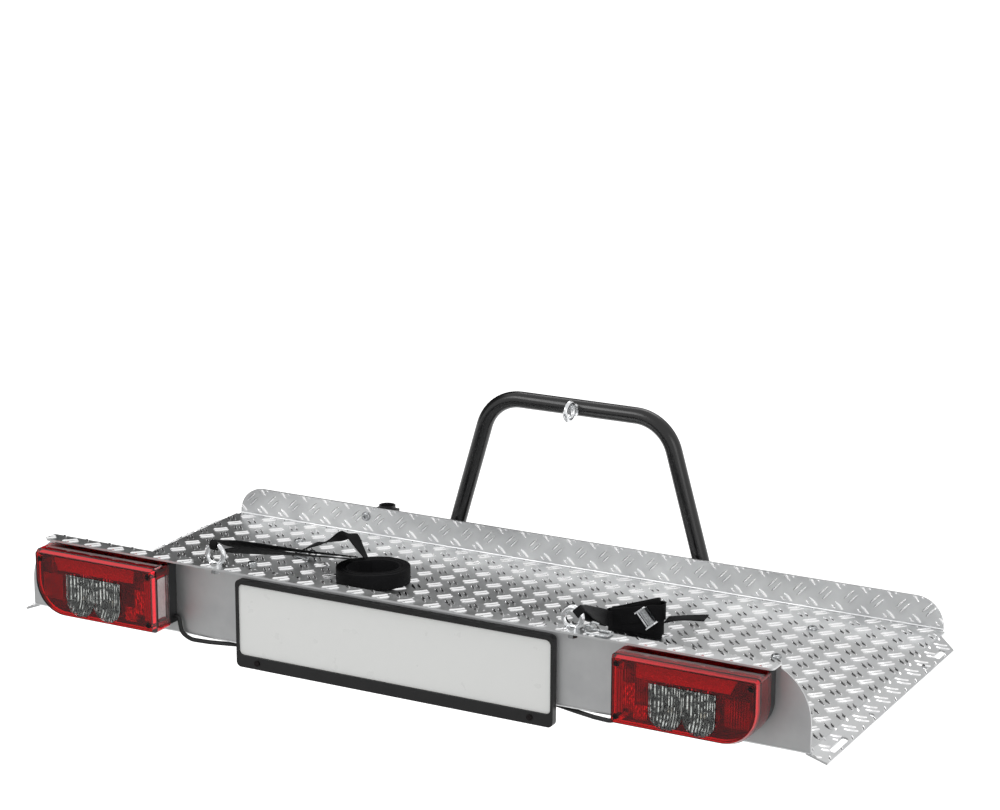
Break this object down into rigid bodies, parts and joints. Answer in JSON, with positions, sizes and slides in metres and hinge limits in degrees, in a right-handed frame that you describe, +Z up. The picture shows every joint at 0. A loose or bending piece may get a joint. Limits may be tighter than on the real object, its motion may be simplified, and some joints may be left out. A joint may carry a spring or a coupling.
{
  "type": "hitch cargo platform",
  "caption": "Tow-ball cargo platform: folded tread-plate tray with tail lamps, number plate holder, tubular front hoop, eye bolts and lashing straps.",
  "frame": {"origin": "centre of the tow ball in the coupling's socket", "axes": "+X to the right seen from behind the car, +Y forwards to the car, +Z up"},
  "size_m": [1.338, 0.724, 0.4045],
  "materials": {
    "tread_aluminium": "bright rolled tread plate",
    "galvanised": "galvanised",
    "black_steel": "gloss black powder coat",
    "black_plastic": "moulded",
    "zinc": "zinc plated",
    "zinc_steel": "zinc plated",
    "chrome": "bright plated",
    "clear_lens": "clear acrylic",
    "plate_white": "white reflective sheet on acrylic",
    "cast_steel": "blackened casting",
    "grip_rubber": "ribbed grip",
    "cable_rubber": "satin sheath",
    "webbing": "woven polyester",
    "buckle_metal": "plated",
    "seal_rubber": "foam rubber",
    "red_lens": "moulded acrylic",
    "smoked_lens": "clear acrylic over a dark reflector",
    "reflector": "metallised",
    "bulb_glass": "glass"
  },
  "bodies": {
    "platform": {"beam_front": "galvanised", "beam_mid": "galvanised", "beam_rear": "galvanised", "buckle_body": "buckle_metal", "buckle_pin": "zinc", "cable_clips": "black_plastic", "cable_glands": "black_plastic", "clamp_pin": "zinc", "coupling_bolts": "zinc", "coupling_housing": "black_steel", "cross_caps": "black_plastic", "deck_screws": "zinc", "deck_tray": "tread_aluminium", "front_beam": "black_steel", "holder_screws": "zinc", "hoop": "black_steel", "hoop_bolts": "zinc", "hoop_eye": "chrome", "junction_box": "black_plastic", "lamp_base_left": "black_plastic", "lamp_base_right": "black_plastic", "lamp_board_left": "reflector", "lamp_board_right": "reflector", "lamp_bulbs_left": "bulb_glass", "lamp_bulbs_right": "bulb_glass", "lamp_cable_left": "cable_rubber", "lamp_cable_right": "cable_rubber", "lamp_lens_left": "red_lens", "lamp_lens_right": "red_lens", "lamp_screws_left": "zinc", "lamp_screws_right": "zinc", "lamp_seal_left": "seal_rubber", "lamp_seal_right": "seal_rubber", "lamp_window_left": "smoked_lens", "lamp_window_right": "smoked_lens", "lash_eye_left": "chrome", "lash_eye_right": "chrome", "m8_nuts": "zinc", "m8_washers": "zinc", "number_plate": "plate_white", "plate_holder": "black_plastic", "plate_light_window": "clear_lens", "plug_bracket": "black_plastic", "rail_caps": "black_plastic", "rail_left": "black_steel", "rail_right": "black_steel", "strap_left_coil": "webbing", "strap_left_end": "webbing", "strap_left_hook": "zinc", "strap_left_run": "webbing", "strap_right_end": "webbing", "strap_right_hank": "webbing", "strap_right_hook": "zinc", "strap_right_run": "webbing"},
    "clamp_jaw": {"clamp_jaw": "cast_steel"},
    "clamp_lever": {"clamp_lever": "zinc_steel", "lever_grip": "grip_rubber"},
    "buckle_lever": {"buckle_lever": "buckle_metal"}
  },
  "joints": [
    {"name": "clamp_lever_hinge", "type": "hinge", "parent": "platform", "child": "clamp_lever", "pos_m": [0, 0.058, 0], "axis": [-1, 0, 0], "range_deg": [0, 75]},
    {"name": "clamp_jaw_slide", "type": "slide", "parent": "platform", "child": "clamp_jaw", "axis": [0, 1, 0], "range_m": [0, 0.005]},
    {"name": "buckle_lever_hinge", "type": "hinge", "parent": "platform", "child": "buckle_lever", "pos_m": [0.26076, -0.29, 0.14665], "axis": [0.65, 0, -0.76], "range_deg": [0, 50], "stiffness_Nm_per_rad": 0.05, "springref_deg": -17.19}
  ],
  "couplings": [
    {"joint": "clamp_jaw_slide", "follows": "clamp_lever_hinge", "m_per_rad": 0.0038}
  ]
}
